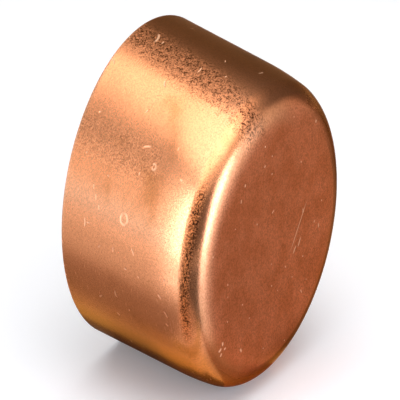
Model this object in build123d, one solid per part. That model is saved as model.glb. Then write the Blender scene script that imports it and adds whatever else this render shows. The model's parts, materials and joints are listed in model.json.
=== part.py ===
from build123d import *
from math import asin, cos, radians, sin, tan
import os

# End cap for soldered copper tube, for a tube of 54 mm (2 in): one cup drawn from
# copper sheet, open at the socket and closed by a flat end with a rounded corner.
# Millimetres. The origin is the centre of the mouth. +X runs along the cap's axis
# to the closed end, and +Z is up with the cap lying on its side.

# Tube and socket
TUBE_DIAMETER = 54.0
SOLDER_GAP = 0.075  # radial gap that the solder fills
SHOULDER_DEPTH = 7.4  # from the end of the round socket to the inside of the closed end

# Shell
CAP_LENGTH = 38.3  # mouth to closed end
MOUTH_WALL = 1.5  # wall at the mouth, where drawing leaves the metal thickest
END_WALL = 1.5  # flat closed end
DRAFT_ANGLE = 0.67  # degrees; the outside narrows a little towards the closed end

# Outside of the closed end
ROUNDED_LENGTH = 13.7  # from the end of the straight wall to the flat face
SHOULDER_RADIUS = 71.4  # slow inward bend that leads into the corner
CORNER_RADIUS = 5.7

# Inside of the closed end
INNER_SHOULDER_RADIUS = 15.0
INNER_CORNER_RADIUS = 4.2

# Mouth
OUTER_RIM_RADIUS = 0.35  # edges of the sawn rim after tumbling
INNER_RIM_RADIUS = 0.25


def arc_point(centre, radius, turn):
    """Point on an arc round centre; turn 0 points away from the axis, 90 to +X."""
    return (centre[0] + radius * sin(turn), centre[1] + radius * cos(turn))


def rounded_end(start, radius, start_turn, corner_radius, face_x):
    """Bend, corner and flat: edges from start to the axis, each tangent to the last.

    start is the (x, r) where the wall ends, start_turn is the wall's own slope in
    radians, radius is the slow bend's and face_x is where the flat face lies.
    """
    bend_centre = (start[0] - radius * sin(start_turn), start[1] - radius * cos(start_turn))
    reach = face_x - bend_centre[0] - corner_radius
    corner_turn = asin(reach / (radius - corner_radius))
    bend_end = arc_point(bend_centre, radius, corner_turn)
    corner_centre = arc_point(bend_centre, radius - corner_radius, corner_turn)
    corner_end = arc_point(corner_centre, corner_radius, radians(90))
    bend_middle = arc_point(bend_centre, radius, (start_turn + corner_turn) / 2)
    corner_middle = arc_point(corner_centre, corner_radius, (corner_turn + radians(90)) / 2)
    return [
        ThreePointArc(start, bend_middle, bend_end),
        ThreePointArc(bend_end, corner_middle, corner_end),
        Line(corner_end, (face_x, 0)),
    ]


# Sizes that follow from the ones above
bore_radius = TUBE_DIAMETER / 2 + SOLDER_GAP
mouth_radius = bore_radius + MOUTH_WALL
straight_length = CAP_LENGTH - ROUNDED_LENGTH
draft = radians(DRAFT_ANGLE)
straight_end = (straight_length, mouth_radius - straight_length * tan(draft))
inner_face_x = CAP_LENGTH - END_WALL
socket_length = inner_face_x - SHOULDER_DEPTH
socket_end = (socket_length, bore_radius)


def rim_edges():
    """Rim of the mouth: inner rounding, flat and outer rounding, out to the wall."""
    inner_start = (INNER_RIM_RADIUS, bore_radius)
    inner_end = (0, bore_radius + INNER_RIM_RADIUS)
    inner_middle = (
        INNER_RIM_RADIUS * (1 - sin(radians(45))),
        bore_radius + INNER_RIM_RADIUS * (1 - sin(radians(45))),
    )
    outer_start = (0, mouth_radius - OUTER_RIM_RADIUS)
    outer_centre = (OUTER_RIM_RADIUS, mouth_radius - OUTER_RIM_RADIUS)
    outer_middle = arc_point(outer_centre, OUTER_RIM_RADIUS, radians(-45) + draft / 2)
    outer_end = arc_point(outer_centre, OUTER_RIM_RADIUS, draft)
    return inner_start, outer_end, [
        ThreePointArc(inner_start, inner_middle, inner_end),
        Line(inner_end, outer_start),
        ThreePointArc(outer_start, outer_middle, outer_end),
    ]


def cap_shell():
    """The whole cup, turned round +X from half of its section."""
    bore_start, wall_start, rim = rim_edges()
    outside = rounded_end(straight_end, SHOULDER_RADIUS, draft, CORNER_RADIUS, CAP_LENGTH)
    inside = rounded_end(
        socket_end, INNER_SHOULDER_RADIUS, 0, INNER_CORNER_RADIUS, inner_face_x
    )
    section = make_face(
        [
            *rim,
            Line(wall_start, straight_end),
            *outside,
            Line((CAP_LENGTH, 0), (inner_face_x, 0)),
            *inside,
            Line(bore_start, socket_end),
        ]
    )
    return revolve(Plane.XZ * section, Axis.X)


os.makedirs("parts", exist_ok=True)
shell = cap_shell()
shell.label = "cap_shell"
export_step(shell, "parts/cap_shell.step")
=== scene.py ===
import json
import math

import bpy
import numpy as np
from mathutils import Matrix, Vector


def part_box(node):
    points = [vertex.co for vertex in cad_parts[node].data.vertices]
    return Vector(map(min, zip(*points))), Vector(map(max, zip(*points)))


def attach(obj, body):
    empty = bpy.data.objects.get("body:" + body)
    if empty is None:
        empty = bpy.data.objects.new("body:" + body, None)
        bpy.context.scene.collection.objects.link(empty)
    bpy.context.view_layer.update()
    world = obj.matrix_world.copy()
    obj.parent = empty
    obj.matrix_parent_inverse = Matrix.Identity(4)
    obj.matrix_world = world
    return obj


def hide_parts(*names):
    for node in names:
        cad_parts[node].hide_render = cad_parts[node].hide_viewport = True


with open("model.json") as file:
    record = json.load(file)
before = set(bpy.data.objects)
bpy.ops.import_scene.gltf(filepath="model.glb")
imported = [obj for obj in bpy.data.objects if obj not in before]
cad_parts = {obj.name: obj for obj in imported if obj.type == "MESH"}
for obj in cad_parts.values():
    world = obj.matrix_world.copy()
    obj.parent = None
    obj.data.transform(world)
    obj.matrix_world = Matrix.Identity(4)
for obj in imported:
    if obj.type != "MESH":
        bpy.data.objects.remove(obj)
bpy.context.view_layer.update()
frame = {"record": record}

scene = bpy.context.scene

# ---------------------------------------------------------------------------------------
# The cup, which is the whole cap: one piece of copper sheet, pressed through a die until
# it is a socket with a closed end. The wall tapers a little so that it leaves the die, then
# bends slowly inwards and turns a tight corner into the end. Nothing else is fixed to it.
# ---------------------------------------------------------------------------------------

# Its section is carried round the axis, which is +X from the open mouth to the closed end.
MM = 0.001
cup_low, cup_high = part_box("cap_shell")
cup_length = cup_high.x / MM
mouth_radius = cup_high.z / MM
socket = next(mount for mount in frame["record"]["mounts"] if mount["name"] == "socket")
bore_radius = socket["dims"]["r_mm"]
END_WALL = 1.5
DRAFT = math.radians(0.67)
ROUNDED_LENGTH = 13.7
SHOULDER_RADIUS = 71.4
CORNER_RADIUS = 5.7
INNER_SHOULDER_DEPTH = 7.4
INNER_SHOULDER_RADIUS = 15.0
INNER_CORNER_RADIUS = 4.2
OUTER_RIM_RADIUS = 0.35
INNER_RIM_RADIUS = 0.25
END_CROWN = 0.26
CROWN_WIDTH = 4.0
END_STEPS = 50
OUTER_STEPS = (20, 30)
INNER_STEPS = (8, 12)
WALL_STEPS = 44
OUTER_RIM_STEPS = 8
INNER_RIM_STEPS = 6
BORE_STEPS = 16
INSIDE_STEPS = 12
STEPS_ROUND = 480


def arc(centre, radius, start, end, count):
    """Points (x, r) at centre + radius (sin turn, cos turn), the turn going evenly from start to end."""
    turn = np.linspace(start, end, count)
    return np.column_stack([centre[0] + radius * np.sin(turn), centre[1] + radius * np.cos(turn)])


def shoulder_and_corner(start, slope, radius, corner, end_x, end_slope, counts):
    """A slow arc that leaves start at the wall's slope, then a tight one that ends at end_x, end_slope
    short of square to the axis. The tight arc's centre is on the slow arc's last radius, so they
    meet without a kink."""
    end_x = end_x + corner * (1 - math.cos(end_slope))
    centre = (start[0] - radius * math.sin(slope), start[1] - radius * math.cos(slope))
    apart = radius - corner
    turn = math.asin((end_x - centre[0] - corner) / apart)
    corner_centre = (centre[0] + apart * math.sin(turn), centre[1] + apart * math.cos(turn))
    slow = arc(centre, radius, slope, turn, counts[0])
    tight = arc(corner_centre, corner, turn, math.pi / 2 - end_slope, counts[1])
    return np.vstack([slow, tight[1:]])


def straight(start, end, count):
    """Even steps on the line from start to end, both ends left out."""
    share = np.linspace(0, 1, count + 2)[1:-1, None]
    return np.array(start) + share * (np.array(end) - np.array(start))


shoulder_x = cup_length - ROUNDED_LENGTH
shoulder_start = (shoulder_x, mouth_radius - shoulder_x * math.tan(DRAFT))
crown_slope = 3 * END_CROWN / CROWN_WIDTH
corner_x = cup_length - END_CROWN
shoulder = shoulder_and_corner(
    shoulder_start, DRAFT, SHOULDER_RADIUS, CORNER_RADIUS, corner_x, crown_slope, OUTER_STEPS
)

# The closed end falls away towards the corner, by the cube of the way over the crown's width.
edge_radius = shoulder[-1, 1]
end_radius = np.linspace(0, edge_radius, END_STEPS)[1:-1]
crown_share = np.clip((end_radius - edge_radius) / CROWN_WIDTH + 1, 0, 1)
crowned_end = np.column_stack([cup_length - END_CROWN * crown_share**3, end_radius])
floor_x = cup_length - END_WALL
inner_start = (floor_x - INNER_SHOULDER_DEPTH, bore_radius)
inner = shoulder_and_corner(
    inner_start, 0, INNER_SHOULDER_RADIUS, INNER_CORNER_RADIUS, floor_x, 0, INNER_STEPS
)
rim_centre = (OUTER_RIM_RADIUS, mouth_radius - OUTER_RIM_RADIUS)
outer_rim = arc(rim_centre, OUTER_RIM_RADIUS, DRAFT, -math.pi / 2, OUTER_RIM_STEPS)
inner_rim_centre = (INNER_RIM_RADIUS, bore_radius + INNER_RIM_RADIUS)
inner_rim = arc(inner_rim_centre, INNER_RIM_RADIUS, -math.pi / 2, -math.pi, INNER_RIM_STEPS)
wall_end = OUTER_STEPS[0] - 2
stretches = [
    ("end", crowned_end),
    ("corner", shoulder[:wall_end:-1]),
    ("wall", shoulder[wall_end::-1]),
    ("wall", straight(shoulder[0], outer_rim[0], WALL_STEPS)),
    ("rim", outer_rim),
    ("rim", straight(outer_rim[-1], inner_rim[0], 2)),
    ("rim", inner_rim),
    ("bore", straight(inner_rim[-1], inner[0], BORE_STEPS)),
    ("bore", inner),
    ("bore", straight(inner[-1], (floor_x, 0), INSIDE_STEPS)),
]
section = np.vstack([points for _, points in stretches])
zone = np.concatenate([[name] * len(points) for name, points in stretches])

# The press leaves the cup very slightly out of round and its skin faintly waved: a sum of
# long, low waves round the axis and along it, always taken inwards.
OUT_OF_ROUND = 0.06
OVAL_TURN = 0.7
SKIN_WAVE = 0.012
WAVES_ROUND = (3, 5, 8, 11, 15, 19, 24, 30)
CALM_RIM = 2
angle = np.linspace(0, 2 * math.pi, STEPS_ROUND, endpoint=False)
x = np.repeat(section[:, :1], STEPS_ROUND, 1)
radius = np.repeat(section[:, 1:], STEPS_ROUND, 1)
round_angle = np.repeat(angle[None], len(section), 0)
draw = np.random.default_rng(54)
waves = np.zeros_like(x)
for turns in WAVES_ROUND:
    pitch = draw.uniform(-0.5, 0.5)
    start = draw.uniform(0, 2 * math.pi)
    waves += np.cos(turns * round_angle + pitch * x + start) / math.sqrt(turns)
waves *= SKIN_WAVE * 0.5
oval = OUT_OF_ROUND * 0.5 * (1 - np.cos(2 * round_angle + OVAL_TURN)) * (1 - x / cup_length)
outside = np.isin(zone, ["corner", "wall", "rim"])[:, None]
inwards = np.where(outside, np.abs(waves).max() + waves, 0) * np.clip(x / CALM_RIM, 0, 1)
radius = radius - oval - inwards
y = -radius * np.sin(round_angle)
z = radius * np.cos(round_angle)
rows = len(section)
poles = [[cup_length, 0, 0], [floor_x, 0, 0]]
points = np.vstack([np.stack([x, y, z], -1).reshape(-1, 3), poles]) * MM
row, column = np.meshgrid(np.arange(rows - 1), np.arange(STEPS_ROUND), indexing="ij")
beside = (column + 1) % STEPS_ROUND
corners = [row * STEPS_ROUND + column, (row + 1) * STEPS_ROUND + column]
corners += [(row + 1) * STEPS_ROUND + beside, row * STEPS_ROUND + beside]
quads = np.stack(corners, -1).reshape(-1, 4)
column = np.arange(STEPS_ROUND)
beside = (column + 1) % STEPS_ROUND
last_row = (rows - 1) * STEPS_ROUND
pole = np.full(STEPS_ROUND, rows * STEPS_ROUND)
outer_pole = np.stack([pole, column, beside], -1)
inner_pole = np.stack([pole + 1, last_row + beside, last_row + column], -1)
cup_mesh = bpy.data.meshes.new("drawn_copper_cup")
cup_mesh.from_pydata(points.tolist(), [], quads.tolist() + outer_pole.tolist() + inner_pole.tolist())
cup_mesh.polygons.foreach_set("use_smooth", np.ones(len(cup_mesh.polygons), bool))
cup_mesh.update()
cup = bpy.data.objects.new("drawn_copper_cup", cup_mesh)
scene.collection.objects.link(cup)

# Where the finish changes, kept on the mesh for its material: the closed end was never
# polished, the bore is dull, the sheet is stretched at the bend, the rims show wear from rubbing,
# and the shoulder, the corner and the closed end's margin carry a painted highlight. Steepness is
# the skin's slope in degrees, from 0 along the wall to 90 on the closed end. The margin is how far
# in from the corner a point of the closed end lies.
UNPOLISHED_FROM = 60
UNPOLISHED_SPAN = 26
UNPOLISHED_MARGIN = 3.2
STRETCHED_AT = 27
SHOULDER_SHEEN_AT = 9
CORNER_SHEEN_AT = 68
SHEEN_MARGIN = 2.0


def bell(value, middle, width):
    """1 at the middle, falling on both sides as exp(-(way from the middle / width) squared)."""
    return np.exp(-(((value - middle) / width) ** 2))


run_x = np.gradient(section[:, 0])
run_r = np.gradient(section[:, 1])
steepness = np.degrees(np.arctan2(np.abs(run_r), np.abs(run_x)))
margin = edge_radius - section[:, 1]
outside_row = np.isin(zone, ["end", "corner", "wall"])
side_row = np.isin(zone, ["corner", "wall"])
turned_share = np.clip((steepness - UNPOLISHED_FROM) / UNPOLISHED_SPAN, 0, 1) * 0.7
inward_share = np.clip(margin / UNPOLISHED_MARGIN, 0, 1) * 0.3
end_share = np.where(outside_row, turned_share + np.where(zone == "end", inward_share, 0), 0)
bore_share = np.where(zone == "bore", 1.0, 0.0)
stretched_share = np.where(side_row, bell(steepness, STRETCHED_AT, 11), 0)
# Painted highlight: the shoulder, the corner and the closed end's margin are marked where the lamps'
# highlights fall, and the material paints them paler; the rims are marked for real wear.
shoulder_sheen = 0.35 * bell(steepness, SHOULDER_SHEEN_AT, 6)
corner_sheen = 0.8 * bell(steepness, CORNER_SHEEN_AT, np.where(steepness < CORNER_SHEEN_AT, 13, 36))
margin_sheen = 0.55 * bell(margin, 0, SHEEN_MARGIN)
rub_and_sheen_share = np.where(side_row, np.maximum(shoulder_sheen, corner_sheen), 0)
rub_and_sheen_share = np.where(zone == "end", margin_sheen, rub_and_sheen_share)
rub_and_sheen_share = np.where(zone == "rim", 1.0, rub_and_sheen_share)
for name, share, pole_values in (
    ("closed_end", end_share, (1, 0)),
    ("bore", bore_share, (0, 1)),
    ("rub_and_sheen", rub_and_sheen_share, (0, 0)),
    ("stretched", stretched_share, (0, 0)),
):
    layer = cup_mesh.attributes.new(name, "FLOAT", "POINT")
    values = np.concatenate([np.repeat(share, STEPS_ROUND), pole_values])
    layer.data.foreach_set("value", values.astype(np.float32))


def node(tree, kind, feeds=None, **settings):
    """A shader node with its settings; each of its sockets takes a value or another node's output."""
    made = tree.nodes.new("ShaderNode" + kind)
    for setting, value in settings.items():
        setattr(made, setting, value)
    for socket_name, feed in (feeds or {}).items():
        if isinstance(feed, bpy.types.NodeSocket):
            tree.links.new(feed, made.inputs[socket_name])
        else:
            made.inputs[socket_name].default_value = feed
    return made


def sum_up(tree, operation, *terms):
    """The output of a Math node on up to three terms."""
    return node(tree, "Math", dict(enumerate(terms)), operation=operation).outputs[0]


def eased(tree, value, low, high, from_low=0.0, to_high=1.0):
    """Goes smoothly from from_low to to_high as value goes from low to high."""
    feeds = {"Value": value, "From Min": low, "From Max": high, "To Min": from_low, "To Max": to_high}
    return node(tree, "MapRange", feeds, interpolation_type="SMOOTHSTEP").outputs[0]


def scaled(tree, vector, share):
    """The colour or the place times share."""
    return node(tree, "VectorMath", {0: vector, "Scale": share}, operation="SCALE").outputs[0]


def tinted(tree, share, first, second):
    """The first colour turning into the second as share goes from 0 to 1."""
    return node(tree, "Mix", {0: share, 6: first, 7: second}, data_type="RGBA").outputs[2]


def finish_group(name, takes, gives):
    """An empty node group with named inputs (kind, name, value) and outputs (kind, name)."""
    tree = bpy.data.node_groups.new(name, "ShaderNodeTree")
    for kind, label, value in takes:
        taken = tree.interface.new_socket(label, in_out="INPUT", socket_type="NodeSocket" + kind)
        taken.default_value = value
    for kind, label in gives:
        tree.interface.new_socket(label, in_out="OUTPUT", socket_type="NodeSocket" + kind)
    return tree, tree.nodes.new("NodeGroupInput").outputs, tree.nodes.new("NodeGroupOutput").inputs


# Orange peel: the skin of drawn copper, whose grains stand up where the sheet was stretched.
peel, peel_in, peel_out = finish_group(
    "orange peel",
    [("Vector", "Place", (0, 0, 0)), ("Float", "Size", 0.4), ("Float", "Depth", 0.005)],
    [("Float", "Height"), ("Float", "Mottle")],
)
grain_scale = sum_up(peel, "DIVIDE", 1.0, peel_in["Size"])
grain_feeds = {"Vector": peel_in["Place"], "Scale": grain_scale, "Detail": 2.0, "Roughness": 0.7}
grains = node(peel, "TexNoise", grain_feeds).outputs["Fac"]
bumps = sum_up(peel, "MULTIPLY", sum_up(peel, "SUBTRACT", grains, 0.5), 2.0)
peel.links.new(sum_up(peel, "MULTIPLY", bumps, peel_in["Depth"]), peel_out["Height"])
peel.links.new(grains, peel_out["Mottle"])

# Pits: small hollows between the grains, which hold dirt. Share is how many of them there are.
pits, pits_in, pits_out = finish_group(
    "pits",
    [("Vector", "Place", (0, 0, 0)), ("Float", "Size", 0.4), ("Float", "Share", 0.3)],
    [("Float", "Dots")],
)
pit_scale = sum_up(pits, "DIVIDE", 1.0, pits_in["Size"])
cell_feeds = {"Vector": pits_in["Place"], "Scale": pit_scale, "Randomness": 1.0}
cells = node(pits, "TexVoronoi", cell_feeds).outputs
cell_draw = node(pits, "SeparateColor", {"Color": cells["Color"]}).outputs
chosen = sum_up(pits, "LESS_THAN", cell_draw[0], pits_in["Share"])
dots = sum_up(pits, "MULTIPLY", chosen, eased(pits, cells["Distance"], 0.45, 0.10))
pits.links.new(dots, pits_out["Dots"])

# Strokes: faint lines that the die and the wiping cloth leave, long one way and thin the other.
strokes, strokes_in, strokes_out = finish_group(
    "strokes", [("Vector", "Stretched Place", (0, 0, 0))], [("Float", "Lines")]
)
line_feeds = {"Vector": strokes_in["Stretched Place"], "Scale": 1.0, "Detail": 3.0}
strokes.links.new(node(strokes, "TexNoise", line_feeds).outputs["Fac"], strokes_out["Lines"])

# Tarnish: brown clouds that handling leaves on bare copper.
tarnish, tarnish_in, tarnish_out = finish_group(
    "tarnish",
    [("Vector", "Place", (0, 0, 0)), ("Float", "Cloud Size", 8.0), ("Float", "Amount", 0.5)],
    [("Float", "Clouds")],
)
cloud_scale = sum_up(tarnish, "DIVIDE", 1.0, tarnish_in["Cloud Size"])
clouds = node(tarnish, "TexNoise", {"Vector": tarnish_in["Place"], "Scale": cloud_scale, "Detail": 5.0})
cloud_edge = sum_up(tarnish, "SUBTRACT", 0.75, tarnish_in["Amount"])
cloud_full = sum_up(tarnish, "ADD", cloud_edge, 0.3)
tarnish.links.new(eased(tarnish, clouds.outputs["Fac"], cloud_edge, cloud_full), tarnish_out["Clouds"])

# A nick: one short curved stroke, as an edge leaves on soft copper. Its place is in flat
# millimetres, its turn in radians from the first of them, and Bend is one half over its radius.
nick, nick_in, nick_out = finish_group(
    "nick",
    [
        ("Vector", "Flat Place", (0, 0, 0)),
        ("Vector", "Centre", (0, 0, 0)),
        ("Float", "Turn", 0.0),
        ("Float", "Length", 2.0),
        ("Float", "Width", 0.25),
        ("Float", "Bend", 0.2),
    ],
    [("Float", "Mark")],
)
from_nick = node(nick, "VectorMath", {0: nick_in["Flat Place"], 1: nick_in["Centre"]}, operation="SUBTRACT")
unturned = sum_up(nick, "MULTIPLY", nick_in["Turn"], -1.0)
nick_place = node(
    nick, "VectorRotate", {"Vector": from_nick.outputs[0], "Angle": unturned}, rotation_type="Z_AXIS"
)
nick_x, nick_y, _ = node(nick, "SeparateXYZ", {0: nick_place.outputs[0]}).outputs
bow = sum_up(nick, "MULTIPLY", sum_up(nick, "MULTIPLY", nick_x, nick_x), nick_in["Bend"])
from_line = sum_up(nick, "ABSOLUTE", sum_up(nick, "SUBTRACT", nick_y, bow))
half_width = sum_up(nick, "MULTIPLY", nick_in["Width"], 0.5)
in_line = eased(nick, from_line, nick_in["Width"], sum_up(nick, "MULTIPLY", half_width, 0.5))
half_length = sum_up(nick, "MULTIPLY", nick_in["Length"], 0.5)
from_middle = sum_up(nick, "ABSOLUTE", nick_x)
in_length = eased(nick, from_middle, half_length, sum_up(nick, "MULTIPLY", half_length, 0.4))
nick.links.new(sum_up(nick, "MULTIPLY", in_line, in_length), nick_out["Mark"])

# Scattered nicks: one in some of the cells of a loose grid, each at a turn of its own.
scatter, scatter_in, scatter_out = finish_group(
    "scattered nicks",
    [
        ("Vector", "Flat Place", (0, 0, 0)),
        ("Float", "Spacing", 8.0),
        ("Float", "Share", 0.4),
        ("Float", "Length", 1.5),
        ("Float", "Width", 0.25),
    ],
    [("Float", "Mark")],
)
cell_scale = sum_up(scatter, "DIVIDE", 1.0, scatter_in["Spacing"])
cell_place = scaled(scatter, scatter_in["Flat Place"], cell_scale)
cell_feeds = {"Vector": cell_place, "Scale": 1.0, "Randomness": 0.7}
cells = node(scatter, "TexVoronoi", cell_feeds, voronoi_dimensions="2D").outputs
from_cell = node(scatter, "VectorMath", {0: cell_place, 1: cells["Position"]}, operation="SUBTRACT")
from_cell = scaled(scatter, from_cell.outputs[0], scatter_in["Spacing"])
cell_draw = node(scatter, "SeparateColor", {"Color": cells["Color"]}).outputs
one_nick = node(scatter, "Group", node_tree=nick)
scatter.links.new(from_cell, one_nick.inputs["Flat Place"])
scatter.links.new(sum_up(scatter, "MULTIPLY", cell_draw[1], math.pi), one_nick.inputs["Turn"])
longer = sum_up(scatter, "ADD", cell_draw[2], 0.5)
scatter.links.new(sum_up(scatter, "MULTIPLY", scatter_in["Length"], longer), one_nick.inputs["Length"])
scatter.links.new(scatter_in["Width"], one_nick.inputs["Width"])
chosen = sum_up(scatter, "LESS_THAN", cell_draw[0], scatter_in["Share"])
scatter.links.new(sum_up(scatter, "MULTIPLY", chosen, one_nick.outputs["Mark"]), scatter_out["Mark"])

# A round dent: the ring that the end of a pipe or a screw prints on the wall.
dent, dent_in, dent_out = finish_group(
    "round dent",
    [
        ("Vector", "Flat Place", (0, 0, 0)),
        ("Vector", "Centre", (0, 0, 0)),
        ("Float", "Radius", 1.0),
        ("Float", "Width", 0.3),
    ],
    [("Float", "Edge")],
)
from_dent = node(dent, "VectorMath", {0: dent_in["Flat Place"], 1: dent_in["Centre"]}, operation="SUBTRACT")
dent_radius = node(dent, "VectorMath", {0: from_dent.outputs[0]}, operation="LENGTH").outputs["Value"]
from_edge = sum_up(dent, "ABSOLUTE", sum_up(dent, "SUBTRACT", dent_radius, dent_in["Radius"]))
ring = eased(dent, from_edge, dent_in["Width"], 0.0)
bite = node(dent, "TexNoise", {"Vector": dent_in["Flat Place"], "Scale": 0.9, "Detail": 1.0}).outputs["Fac"]
dent.links.new(sum_up(dent, "MULTIPLY", ring, eased(dent, bite, 0.34, 0.50)), dent_out["Edge"])

# The copper's own material: bare metal, whose colour and roughness follow the masks above.
copper = bpy.data.materials.new("drawn copper")
copper.use_nodes = True
skin = copper.node_tree
shader = skin.nodes["Principled BSDF"]
shader.inputs["Metallic"].default_value = 1
shader.inputs["Specular Tint"].default_value = (1, 0.70, 0.40, 1)
object_place = node(skin, "TexCoord").outputs["Object"]
place_mm = scaled(skin, object_place, 1 / MM)
x_mm, y_mm, z_mm = node(skin, "SeparateXYZ", {0: place_mm}).outputs
across_axis = node(skin, "CombineXYZ", {1: y_mm, 2: z_mm}).outputs[0]
outward = node(skin, "VectorMath", {0: across_axis}, operation="NORMALIZE").outputs[0]
facing_up = node(skin, "SeparateXYZ", {0: outward}).outputs[2]
closed_end = node(skin, "Attribute", attribute_name="closed_end").outputs["Fac"]
bore = node(skin, "Attribute", attribute_name="bore").outputs["Fac"]
rub_and_sheen = node(skin, "Attribute", attribute_name="rub_and_sheen").outputs["Fac"]
stretched = node(skin, "Attribute", attribute_name="stretched").outputs["Fac"]

# The wall laid flat is along the axis and round it, from the top over the front; the closed
# end laid flat is across and up.
round_turn = sum_up(skin, "ARCTAN2", sum_up(skin, "MULTIPLY", y_mm, -1.0), z_mm)
round_mm = sum_up(skin, "MULTIPLY", round_turn, mouth_radius)
flat_wall = node(skin, "CombineXYZ", {0: x_mm, 1: round_mm}).outputs[0]
flat_end = node(skin, "CombineXYZ", {0: y_mm, 1: z_mm}).outputs[0]
on_end = sum_up(skin, "GREATER_THAN", closed_end, 0.4)


def all_marks(place, nicks, dents, scatters):
    """The strongest of the nicks (x, y, length, width, turn in degrees, bend), the edges of the round
    dents (x, y, radius) and the scattered nicks (spacing, share, length, width), all in flat mm."""
    wanted = [(scatter, feeds) for feeds in scatters]
    for nick_x_mm, nick_y_mm, length, width, turn, bend in nicks:
        wanted.append((nick, ((nick_x_mm, nick_y_mm, 0), math.radians(turn), length, width, bend)))
    for dent_x_mm, dent_y_mm, dent_size in dents:
        wanted.append((dent, ((dent_x_mm, dent_y_mm, 0), dent_size, 0.34)))
    strongest = 0.0
    for kind, feeds in wanted:
        mark = node(skin, "Group", dict(enumerate((place,) + feeds)), node_tree=kind).outputs[0]
        strongest = sum_up(skin, "MAXIMUM", strongest, mark)
    return strongest


def hoop_mm(degrees):
    """How far round the wall that many degrees from the top are, in mm."""
    return round(math.radians(degrees) * mouth_radius, 1)


# The marks that have their own places: on the wall from the mouth and round from the top, and on
# the closed end across and up from its middle. The others are scattered between them.
WALL_NICKS = [
    (5.9, hoop_mm(1.5), 3.6, 0.36, 69, 0.16),
    (15.2, hoop_mm(20), 1.8, 0.26, 52, -0.35),
    (18.6, hoop_mm(44.5), 2.6, 0.22, -19, 0.03),
    (6.8, hoop_mm(79.5), 1.9, 0.24, 80, 0.25),
    (15.3, hoop_mm(102), 1.6, 0.26, 75, -0.3),
    (9.0, hoop_mm(69), 1.2, 0.18, 76, 0.05),
    (10.2, hoop_mm(72), 1.0, 0.18, 72, 0.05),
    (7.9, hoop_mm(66), 0.9, 0.18, 80, 0.05),
    (28.6, hoop_mm(93.5), 1.3, 0.26, 40, 0.2),
]
WALL_DENTS = [
    (17.5, hoop_mm(71.5), 0.95),
    (22.0, hoop_mm(50), 0.5),
]
WALL_SCATTER = [(9.6, 0.30, 1.4, 0.20), (3.7, 0.16, 0.8, 0.18)]
END_NICKS = [
    (10.0, -0.5, 11.0, 0.14, 53, 0.0),
    (10.3, -3.8, 2.2, 0.22, 58, 0.05),
    (8.6, -4.6, 1.9, 0.22, 48, -0.05),
    (-18.0, -13.3, 1.2, 0.36, 30, 0.4),
    (-17.2, -12.3, 1.0, 0.34, 95, 0.3),
    (-17.6, -14.4, 0.9, 0.30, 65, 0.0),
    (-16.4, -13.6, 0.8, 0.30, 10, 0.0),
    (-10.6, -16.4, 1.1, 0.32, 120, 0.3),
    (-9.5, 15.2, 0.7, 0.24, 75, 0.0),
    (16.0, 17.0, 0.9, 0.36, 40, 0.3),
]
END_SCATTER = [(5.5, 0.22, 0.8, 0.18), (2.6, 0.10, 0.4, 0.20)]
wall_marks = all_marks(flat_wall, WALL_NICKS, WALL_DENTS, WALL_SCATTER)
wall_marks = sum_up(skin, "MULTIPLY", wall_marks, eased(skin, x_mm, 34.0, 32.0))
end_marks = all_marks(flat_end, END_NICKS, [], END_SCATTER)
marks = node(skin, "Mix", {0: on_end, 2: wall_marks, 3: end_marks}).outputs[0]

# Bright where it was polished, warm where it was handled, brown and gold underneath as painted
# shade and painted bounce light, red at the bend as a painted reflection, darker on the closed end
# and along the top as painted shade, and pale on new copper or under a painted highlight.
BRIGHT_COPPER = (0.88, 0.345, 0.155, 1)
WARM_COPPER = (0.62, 0.225, 0.080, 1)
UNDER_SHADE_BROWN = (0.46, 0.166, 0.062, 1)
UNDER_BOUNCE_GOLD = (0.72, 0.245, 0.066, 1)
DIRT_AND_SHADE_BROWN = (0.10, 0.030, 0.012, 1)
END_SHADED_BROWN = (0.54, 0.147, 0.055, 1)
END_PALE = (0.68, 0.210, 0.092, 1)
BORE_BROWN = (0.50, 0.185, 0.080, 1)
BORE_DARK = (0.36, 0.138, 0.064, 1)
FRESH_COPPER = (0.97, 0.58, 0.36, 1)
BEND_REFLECTED_RED = (0.86, 0.265, 0.075, 1)

# On the wall the lines run round the cup, on the closed end they run up and down it.
HOOP_LINE = (0.22, 2.2)
END_LINE = (0.30, 5.0)
hoop_round = scaled(skin, outward, mouth_radius / HOOP_LINE[1])
hoop_along = node(skin, "CombineXYZ", {0: sum_up(skin, "DIVIDE", x_mm, HOOP_LINE[0])}).outputs[0]
hoop_place = node(skin, "VectorMath", {0: hoop_round, 1: hoop_along}, operation="ADD").outputs[0]
end_sizes = (1.0, 1 / END_LINE[0], 1 / END_LINE[1])
end_place = node(skin, "VectorMath", {0: place_mm, 1: end_sizes}, operation="MULTIPLY").outputs[0]
hoop_lines = node(skin, "Group", {"Stretched Place": hoop_place}, node_tree=strokes).outputs["Lines"]
end_lines = node(skin, "Group", {"Stretched Place": end_place}, node_tree=strokes).outputs["Lines"]


def cloudy(size, amount):
    """Clouds of that size in mm over the whole cup; a larger amount leaves less clear copper."""
    shifted = node(skin, "VectorMath", {0: place_mm, 1: (size, 0, size)}, operation="ADD").outputs[0]
    feeds = {"Place": shifted, "Cloud Size": size, "Amount": amount}
    return node(skin, "Group", feeds, node_tree=tarnish).outputs["Clouds"]


# The skin is grainiest where the press stretched it, at the bend on the lit front, and in a
# line of dirt just in front of the top, with a fainter rough patch between them. The top and
# the far corner are darkened with painted shade, and the underside with painted brown shade.
# Turns are in degrees from the top, over the front.
LIT_FRONT_TURN = 70
BEND_TURN = 78
ROUGH_TURN = 50
FAR_TOP_TURN = -17
SHADED_TURN = -128
DIRT_LINE = (2.0, 0.13)


def facing(turn):
    """How squarely the skin faces outwards at that turn: 1 is square on and 0 is side on."""
    direction = (0, -math.sin(math.radians(turn)), math.cos(math.radians(turn)))
    return node(skin, "VectorMath", {0: outward, 1: direction}, operation="DOT_PRODUCT").outputs["Value"]


def mm_round_from(middle):
    """How far round the wall the skin lies from middle, in mm."""
    return sum_up(skin, "ABSOLUTE", sum_up(skin, "SUBTRACT", round_mm, middle))


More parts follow.
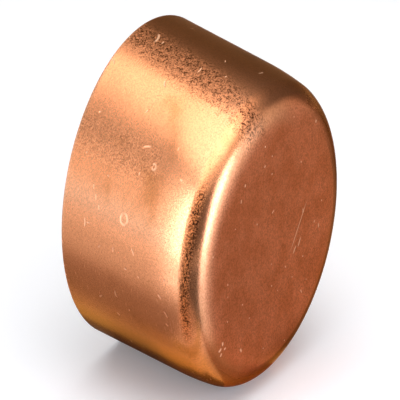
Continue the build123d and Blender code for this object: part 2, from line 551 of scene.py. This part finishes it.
facing_lit_front = facing(LIT_FRONT_TURN)
top_band = eased(skin, sum_up(skin, "MAXIMUM", facing_up, facing(FAR_TOP_TURN)), 0.94, 0.995)
dirt_middle = sum_up(skin, "MULTIPLY_ADD", x_mm, DIRT_LINE[1], DIRT_LINE[0])
dirt_line = eased(skin, mm_round_from(dirt_middle), 7.5, 0.5)
near_bend = eased(skin, mm_round_from(hoop_mm(BEND_TURN)), hoop_mm(35), hoop_mm(22), 0.15, 1.0)
bend = sum_up(skin, "MULTIPLY", stretched, near_bend)
near_rough = eased(skin, mm_round_from(hoop_mm(ROUGH_TURN)), 7.5, 1.5)
rough_patch = sum_up(skin, "MULTIPLY", near_rough, eased(skin, x_mm, 29.0, 21.0, 0.0, 0.28))
grainy = sum_up(skin, "MAXIMUM", bend, sum_up(skin, "MULTIPLY", dirt_line, 0.8))
grainy = sum_up(skin, "MAXIMUM", grainy, rough_patch)

# The grain itself, the pits and the blotches of dirt between them, with their sizes in mm.
GRAIN_SIZE = 0.36
PIT_SIZE = 0.42
BLOTCH_SIZE = 1.1
skin_peel = node(skin, "Group", {"Place": place_mm, "Size": GRAIN_SIZE}, node_tree=peel)
skin.links.new(eased(skin, grainy, 0.0, 1.0, 0.007, 0.042), skin_peel.inputs["Depth"])
mottle = skin_peel.outputs["Mottle"]
skin_pits = node(skin, "Group", {"Place": place_mm, "Size": PIT_SIZE}, node_tree=pits)
pit_patches = eased(skin, cloudy(6.0, 0.42), 0.0, 1.0, 0.05, 0.40)
pit_share = sum_up(skin, "MAXIMUM", pit_patches, sum_up(skin, "MULTIPLY", grainy, 0.75))
skin.links.new(pit_share, skin_pits.inputs["Share"])
dots = skin_pits.outputs["Dots"]
blotches = node(skin, "Group", {"Place": place_mm, "Size": BLOTCH_SIZE}, node_tree=peel).outputs["Mottle"]
blotched = eased(skin, blotches, 0.55, 0.45)
clumped = sum_up(skin, "MULTIPLY", grainy, sum_up(skin, "MULTIPLY_ADD", blotched, 0.60, 0.40))
low_grain = eased(skin, mottle, 0.50, 0.45)
low_dirt = sum_up(skin, "MULTIPLY", low_grain, eased(skin, clumped, 0.05, 0.75, 0.06, 0.97))
blotch_dirt = sum_up(skin, "MULTIPLY", blotched, eased(skin, grainy, 0.1, 1.0, 0.03, 0.38))
pit_dirt = sum_up(skin, "MULTIPLY", dots, eased(skin, grainy, 0.0, 0.8, 0.30, 0.95))
dirt = sum_up(skin, "MAXIMUM", sum_up(skin, "MAXIMUM", low_dirt, blotch_dirt), pit_dirt)

# The wall: bright, warmer in clouds, painted brown shade and gold bounce light underneath, a
# painted red reflection at the bend, a painted dark band along the top, then the dirt.
wall_colour = tinted(skin, cloudy(9.0, 0.22), BRIGHT_COPPER, WARM_COPPER)
# Painted shade and painted reflection: the underside is painted brown, and gold towards the closed end for
# the warm light the copper throws on the floor below.
underside_shade_share = eased(skin, facing_up, -0.25, -0.60)
bounce_gold_share = sum_up(skin, "MULTIPLY", eased(skin, x_mm, 20.0, 30.0), eased(skin, x_mm, 37.6, 36.2))
under_shade_colour = tinted(skin, bounce_gold_share, UNDER_SHADE_BROWN, UNDER_BOUNCE_GOLD)
wall_colour = tinted(skin, underside_shade_share, wall_colour, under_shade_colour)
# Painted reflection: the bend is tinted red for the warm copper light it reflects.
wall_colour = tinted(skin, sum_up(skin, "MULTIPLY", bend, 0.7), wall_colour, BEND_REFLECTED_RED)
light_grain = eased(skin, mottle, 0.3, 0.7, 0.90, 1.08)
wall_colour = scaled(skin, wall_colour, light_grain)
# Painted shade: a dark band along the top of the wall, for the dark boards behind it that it reflects.
top_band_shade = sum_up(skin, "MULTIPLY", top_band, eased(skin, round_mm, 1.0, -4.0, 0.30, 0.45))
wall_colour = tinted(skin, top_band_shade, wall_colour, DIRT_AND_SHADE_BROWN)
wall_colour = tinted(skin, dirt, wall_colour, DIRT_AND_SHADE_BROWN)

# The closed end: brown in clouds, partly as painted shade for the dim floor it reflects, and
# darker as painted shade towards its far top and at its foot.
end_clouds = sum_up(skin, "MULTIPLY", cloudy(5.0, 0.38), 0.6)
end_clouds = sum_up(skin, "MULTIPLY_ADD", end_lines, 0.4, end_clouds)
end_colour = tinted(skin, end_clouds, END_SHADED_BROWN, END_PALE)
end_shade = eased(skin, mottle, 0.3, 0.7, 0.78, 1.14)
clear_share = sum_up(skin, "MULTIPLY_ADD", dots, -0.30, 1.0)
end_shade = sum_up(skin, "MULTIPLY", end_shade, clear_share)
# Painted shade: darker towards the closed end's far top, and at its foot below.
end_painted_shade = eased(skin, sum_up(skin, "SUBTRACT", z_mm, y_mm), -30.0, 30.0, 1.09, 0.91)
end_shade = sum_up(skin, "MULTIPLY", end_shade, end_painted_shade)
foot_painted_shade = eased(skin, z_mm, -24.0, -16.0, 0.74, 1.0)
end_shade = sum_up(skin, "MULTIPLY", end_shade, foot_painted_shade)
end_colour = scaled(skin, end_colour, end_shade)

# The two meet over the corner, whose far edge gets painted shade. Edges and nicks show new
# copper, and the shoulder, the corner and the end's margin a painted highlight.
far_side = eased(skin, facing_lit_front, 0.35, -0.10)
shaded_far_corner = sum_up(skin, "MULTIPLY", far_side, eased(skin, x_mm, 36.0, 37.6))
end_tint = sum_up(skin, "MAXIMUM", eased(skin, closed_end, 0.3, 1.0), shaded_far_corner)
outer_colour = tinted(skin, end_tint, wall_colour, end_colour)
# Painted shade: the far edge of the corner, on its under and back side, is darkened.
corner_shade_share = eased(skin, rub_and_sheen, 0.50, 0.75, 0.0, 0.55)
far_edge_shade = sum_up(skin, "MULTIPLY", eased(skin, facing(SHADED_TURN), 0.15, 0.70), corner_shade_share)
outer_colour = tinted(skin, far_edge_shade, outer_colour, DIRT_AND_SHADE_BROWN)
# Painted highlight and wear: paler where the edges are rubbed and where highlights fall, most on the lit
# front, and at the nicks.
wear_and_sheen = sum_up(skin, "MULTIPLY", rub_and_sheen, sum_up(skin, "SUBTRACT", 0.9, underside_shade_share))
wear_and_sheen = sum_up(skin, "MULTIPLY", wear_and_sheen, eased(skin, mottle, 0.40, 0.60, 0.3, 0.8))
wear_and_sheen = sum_up(skin, "MULTIPLY", wear_and_sheen, eased(skin, facing_lit_front, 0.2, 0.95, 0.15, 0.80))
mark_share = sum_up(skin, "MAXIMUM", eased(skin, top_band, 0.0, 0.6, 0.60, 1.0), on_end)
fresh_and_sheen = sum_up(skin, "MAXIMUM", sum_up(skin, "MULTIPLY", marks, mark_share), wear_and_sheen)
outer_colour = tinted(skin, fresh_and_sheen, outer_colour, FRESH_COPPER)

# The bore: dull, with the die's lines round it.
bore_colour = tinted(skin, cloudy(7.0, 0.45), BORE_BROWN, BORE_DARK)
bore_lines = sum_up(skin, "SUBTRACT", eased(skin, hoop_lines, 0.30, 0.70, 0.74, 1.24), 1.0)
bore_lines = sum_up(skin, "MULTIPLY", bore_lines, eased(skin, x_mm, 31.0, 27.0))
bore_shade = sum_up(skin, "MULTIPLY", sum_up(skin, "ADD", bore_lines, 1.0), light_grain)
bore_colour = scaled(skin, bore_colour, bore_shade)
all_colour = tinted(skin, bore, outer_colour, bore_colour)
skin.links.new(all_colour, shader.inputs["Base Color"])

# The wall is smooth and the closed end and the bore are dull. Grain and nicks scatter more.
WALL_ROUGHNESS = 0.25
END_ROUGHNESS = 0.46
BORE_ROUGHNESS = 0.5
NICK_ROUGHNESS = 0.50
line_change = sum_up(skin, "MULTIPLY", sum_up(skin, "SUBTRACT", hoop_lines, 0.5), 0.10)
wall_rough = sum_up(skin, "MULTIPLY_ADD", top_band, 0.07, WALL_ROUGHNESS)
wall_rough = sum_up(skin, "ADD", wall_rough, line_change)
high_grain = eased(skin, mottle, 0.52, 0.62)
grain_rough = eased(skin, grainy, 0.1, 0.8, 0.0, 0.34)
wall_rough = sum_up(skin, "MULTIPLY_ADD", high_grain, grain_rough, wall_rough)
end_dull = eased(skin, closed_end, -0.05, 0.5)
outer_rough = node(skin, "Mix", {0: end_dull, 2: wall_rough, 3: END_ROUGHNESS}).outputs[0]
outer_rough = node(skin, "Mix", {0: marks, 2: outer_rough, 3: NICK_ROUGHNESS}).outputs[0]
all_rough = node(skin, "Mix", {0: bore, 2: outer_rough, 3: BORE_ROUGHNESS}).outputs[0]
skin.links.new(all_rough, shader.inputs["Roughness"])

# The grain stands up from the skin, and pits and nicks go into it; depths are in mm.
PIT_DEPTH = 0.010
NICK_DEPTH = 0.030
pit_depth = sum_up(skin, "MULTIPLY", dots, PIT_DEPTH)
hollows = sum_up(skin, "ADD", pit_depth, sum_up(skin, "MULTIPLY", wall_marks, NICK_DEPTH))
skin_height = sum_up(skin, "SUBTRACT", skin_peel.outputs["Height"], hollows)
relief = node(skin, "Bump", {"Strength": 1.0, "Distance": MM, "Height": skin_height})
skin.links.new(relief.outputs[0], shader.inputs["Normal"])
cup_mesh.materials.append(copper)
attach(cup, "root")
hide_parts("cap_shell")

# ---------------------------------------------------------------------------------------
# The studio: a pale floor that the cap lies on, soft boxes above, in front, beside the closed
# end and lying on the floor, and dark and tinted boards between them, which give bright metal
# its dark reflections.
# ---------------------------------------------------------------------------------------
cup_middle = Vector((cup_length / 2 * MM, 0, 0))


def standing_at(azimuth, elevation, distance):
    """The place and turn of something that faces the cap's middle from there: its own axes are across,
    up and back. Azimuth 0 is in front of the wall, at -Y, and 90 is in front of the closed end, at +X."""
    a, e = math.radians(azimuth), math.radians(elevation)
    across = Vector((math.cos(a), math.sin(a), 0))
    back = Vector((math.sin(a) * math.cos(e), -math.cos(a) * math.cos(e), math.sin(e)))
    turn = Matrix((across, back.cross(across), back)).transposed().to_4x4()
    turn.translation = cup_middle + distance * back
    return turn


floor_z = cup_low.z


def on_floor(x_mm, y_mm, turn, height=1.0):
    """The place at x_mm, y_mm, that many mm over the floor, turned by degrees about the upright."""
    place = Matrix.Translation((x_mm * MM, y_mm * MM, floor_z + height * MM))
    return place @ Matrix.Rotation(math.radians(turn), 4, "Z")


def soft_box(name, place, width, height, radiance, colour):
    """An area lamp, centred on place and shining down its Z, that shows in the metal as evenly bright
    as radiance, where 1 is white."""
    lamp = bpy.data.lights.new(name, "AREA")
    lamp.shape = "RECTANGLE"
    lamp.size = width
    lamp.size_y = height
    lamp.energy = radiance * math.pi * width * height
    lamp.color = colour
    box = bpy.data.objects.new(name, lamp)
    scene.collection.objects.link(box)
    box.matrix_world = place
    box.visible_camera = False


def rectangle(name, place, width, height, colour, roughness):
    """A flat board of plain colour, staged, centred on place and lying in its X and Y."""
    mesh = bpy.data.meshes.new(name)
    corners = [(-0.5, -0.5), (0.5, -0.5), (0.5, 0.5), (-0.5, 0.5)]
    mesh.from_pydata([place @ Vector((u * width, v * height, 0)) for u, v in corners], [], [(0, 1, 2, 3)])
    board = bpy.data.objects.new(name, mesh)
    scene.collection.objects.link(board)
    paint = bpy.data.materials.new(name)
    paint.use_nodes = True
    paint.node_tree.nodes["Principled BSDF"].inputs["Base Color"].default_value = colour
    paint.node_tree.nodes["Principled BSDF"].inputs["Roughness"].default_value = roughness
    mesh.materials.append(paint)
    return board


def flag(name, place, width, height, colour):
    """A board that only the metal sees: it darkens a reflection and shades nothing."""
    board = rectangle(name, place, width, height, colour, 0.9)
    board.visible_camera = False
    board.visible_diffuse = False
    board.visible_shadow = False


NEUTRAL = (1, 1, 1)
COOL = (0.97, 1.04, 1.25)
GLOW_BLUE = (0.0, 0.45, 1.0)
face_up = Matrix.Rotation(math.pi, 4, "X")
soft_box("overhead soft box", standing_at(-135, 90, 0.72), 1.04, 1.04, 1.67, NEUTRAL)
soft_box("overhead centre", standing_at(63, 77, 0.55), 0.28, 0.28, 0.80, COOL)
soft_box("front strip", standing_at(-15, 18.3, 0.311), 0.040, 0.253, 6.0, COOL)
soft_box("front glow", standing_at(-34, 4, 0.60), 0.26, 0.16, 0.58, GLOW_BLUE)
soft_box("front floor strip", on_floor(-13, -137, -22.5, 2.0) @ face_up, 0.012, 0.110, 2.3, COOL)
soft_box("end soft box", standing_at(87, 9.7, 0.174), 0.078, 0.116, 4.0, COOL)
soft_box("end floor panel", on_floor(126, 0, 0, 2.0) @ face_up, 0.050, 0.026, 1.4, COOL)
DARK = (0.15, 0.13, 0.12, 1)
GREY = (0.85, 0.85, 0.85, 1)
behind = standing_at(182.5, 25, 0.40)
flag("back flag", behind @ Matrix.Translation((0, 0.125, 0)), 0.683, 0.25, DARK)
flag("back flag foot", behind @ Matrix.Translation((0.066, -0.125, 0)), 0.551, 0.25, DARK)
flag("back flag edge", standing_at(182, 60, 0.46), 0.80, 0.05, (0.92, 0.92, 0.92, 1))
flag("camera side flag", standing_at(50, 15.5, 0.424), 0.66, 0.294, DARK)
flag("wall side flag", standing_at(-74, 38.5, 0.48), 0.50, 0.30, GREY)
BROWN = (0.31, 0.25, 0.21, 1)
flag("front card", on_floor(-64, -42.5, 0), 0.172, 0.023, BROWN)
flag("front card outer edge", on_floor(-64, -60, 0), 0.172, 0.012, (0.50, 0.44, 0.41, 1))
flag("front card edge", on_floor(-64, -28.5, 0), 0.172, 0.005, (0.58, 0.50, 0.44, 1))
flag("front gold card", on_floor(37, -29.0, 0), 0.054, 0.006, (0.64, 0.54, 0.30, 1))
flag("front tan card", on_floor(43, -54.2, 0), 0.042, 0.0415, (0.55, 0.45, 0.38, 1))
# Painted shadow: the under card darkens the metal's reflection of the floor beneath the cap, in place of
# its contact shadow.
flag("under shadow card", on_floor(8, -7, 0), 0.056, 0.024, (0.28, 0.25, 0.24, 1))
flag("front grey card", on_floor(-110, -119.5, 0), 0.240, 0.107, (0.68, 0.67, 0.66, 1))
flag("back card", on_floor(-60, 240, 0), 0.40, 0.22, DARK)
flag("end card camera side", on_floor(133.5, 89.4, -34), 0.054, 0.238, (0.235, 0.215, 0.195, 1))
flag("end card far side", on_floor(91.9, 117.4, -34), 0.046, 0.238, (0.47, 0.42, 0.37, 1))
flag("foot card", on_floor(41.0, -7.4, -34, 2.0), 0.043, 0.014, (0.60, 0.45, 0.36, 1))
flag("far corner card", on_floor(22.0, 113.9, -34), 0.066, 0.120, (0.20, 0.15, 0.13, 1))
flag("camera side card", on_floor(122.2, -112.5, 66), 0.120, 0.188, (0.08, 0.08, 0.08, 1))
flag("camera side card edge", on_floor(147.7, -52.7, 66), 0.010, 0.106, (0.35, 0.33, 0.31, 1))
PALE = (0.94, 0.94, 0.94, 1)
FLOOR_SIZE = 4
floor = rectangle("floor", Matrix.Translation((0, 0, floor_z)), FLOOR_SIZE, FLOOR_SIZE, PALE, 0.8)

# The floor's own pale colour comes up to white where the camera and the metal see it.
FLOOR_LIFT = 0.14
floor_paint = floor.active_material.node_tree
floor_shader = floor_paint.nodes["Principled BSDF"]
floor_shader.inputs["Emission Color"].default_value = (1, 1, 1, 1)
floor_ray = node(floor_paint, "LightPath").outputs
floor_seen = sum_up(floor_paint, "MAXIMUM", floor_ray["Is Camera Ray"], floor_ray["Is Glossy Ray"])
floor_seen = sum_up(floor_paint, "MAXIMUM", floor_seen, floor_ray["Is Transmission Ray"])
floor_glow = sum_up(floor_paint, "MULTIPLY", floor_seen, FLOOR_LIFT)
floor_paint.links.new(floor_glow, floor_shader.inputs["Emission Strength"])

# The room behind is white to the camera and to the metal, and gives the rest a dim light.
world = bpy.data.worlds.new("studio")
scene.world = world
world.use_nodes = True
room = world.node_tree
background = room.nodes["Background"]
background.inputs["Color"].default_value = (1, 1, 1, 1)
ray = node(room, "LightPath").outputs
seen = sum_up(room, "MAXIMUM", ray["Is Camera Ray"], ray["Is Glossy Ray"])
seen = sum_up(room, "MAXIMUM", seen, ray["Is Transmission Ray"])
ROOM_LIGHT = 0.22
strength = node(room, "MapRange", {"Value": seen, "To Min": ROOM_LIGHT, "To Max": 1.0}).outputs[0]
room.links.new(strength, background.inputs["Strength"])

# ---------------------------------------------------------------------------------------
# The camera looks from before the closed end, down at the wall, through a long lens. Its
# back is tilted against the line of sight, as on a view camera, which draws every height
# a third longer than every width.
# ---------------------------------------------------------------------------------------
CAMERA_AZIMUTH = 39.42
CAMERA_ELEVATION = 28.17
CAMERA_DISTANCE = 1.3655
AIM_ACROSS = -1.34 * MM
AIM_UP = 1.83 * MM
BACK_TILT = math.acos(3 / 4)
sight = standing_at(CAMERA_AZIMUTH, CAMERA_ELEVATION, CAMERA_DISTANCE)
across, up, back = (sight.col[i].to_3d() for i in range(3))
tilted_up = up * math.cos(BACK_TILT) - back * math.sin(BACK_TILT)
stand = Matrix((across, tilted_up, back)).transposed().to_4x4()
stand.translation = sight.translation + across * AIM_ACROSS + up * AIM_UP
lens = bpy.data.cameras.new("camera")
lens.sensor_width = 36
lens.lens = 540
lens.clip_end = 10
camera = bpy.data.objects.new("camera", lens)
scene.collection.objects.link(camera)
tripod = bpy.data.objects.new("camera stand", None)
scene.collection.objects.link(tripod)
camera.parent = tripod
camera.matrix_parent_inverse = stand
scene.camera = camera
scene.view_settings.view_transform = "Standard"
